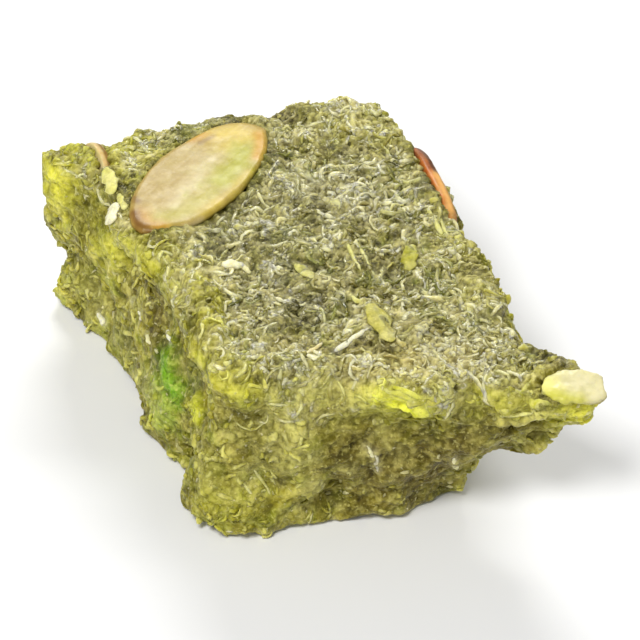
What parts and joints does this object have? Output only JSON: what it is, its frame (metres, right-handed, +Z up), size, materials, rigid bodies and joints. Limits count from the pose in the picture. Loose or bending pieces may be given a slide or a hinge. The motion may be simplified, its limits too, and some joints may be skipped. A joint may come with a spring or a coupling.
{
  "type": "bottle gourd halwa piece",
  "caption": "Diamond-cut piece of grated bottle gourd halwa, crumbly and moist, with almond slices and slivers pressed into its top.",
  "frame": {"origin": "under the middle of the whole piece, on the flat base that it rests on", "axes": "+X towards the pointed corner that stands out at the right, +Y from the front cut face to the back, +Z up from the base"},
  "size_m": [0.0654, 0.0528, 0.0244],
  "materials": {
    "halwa": "moist and crumbly",
    "almond_cream": "satin",
    "almond_skin": "satin",
    "almond_pale": "satin"
  },
  "bodies": {
    "root": {"halwa_block": "halwa", "almond_slice_top": "almond_cream", "almond_sliver_right": "almond_skin", "almond_chip_left": "almond_skin", "almond_flake_corner": "almond_pale"}
  },
  "joints": []
}
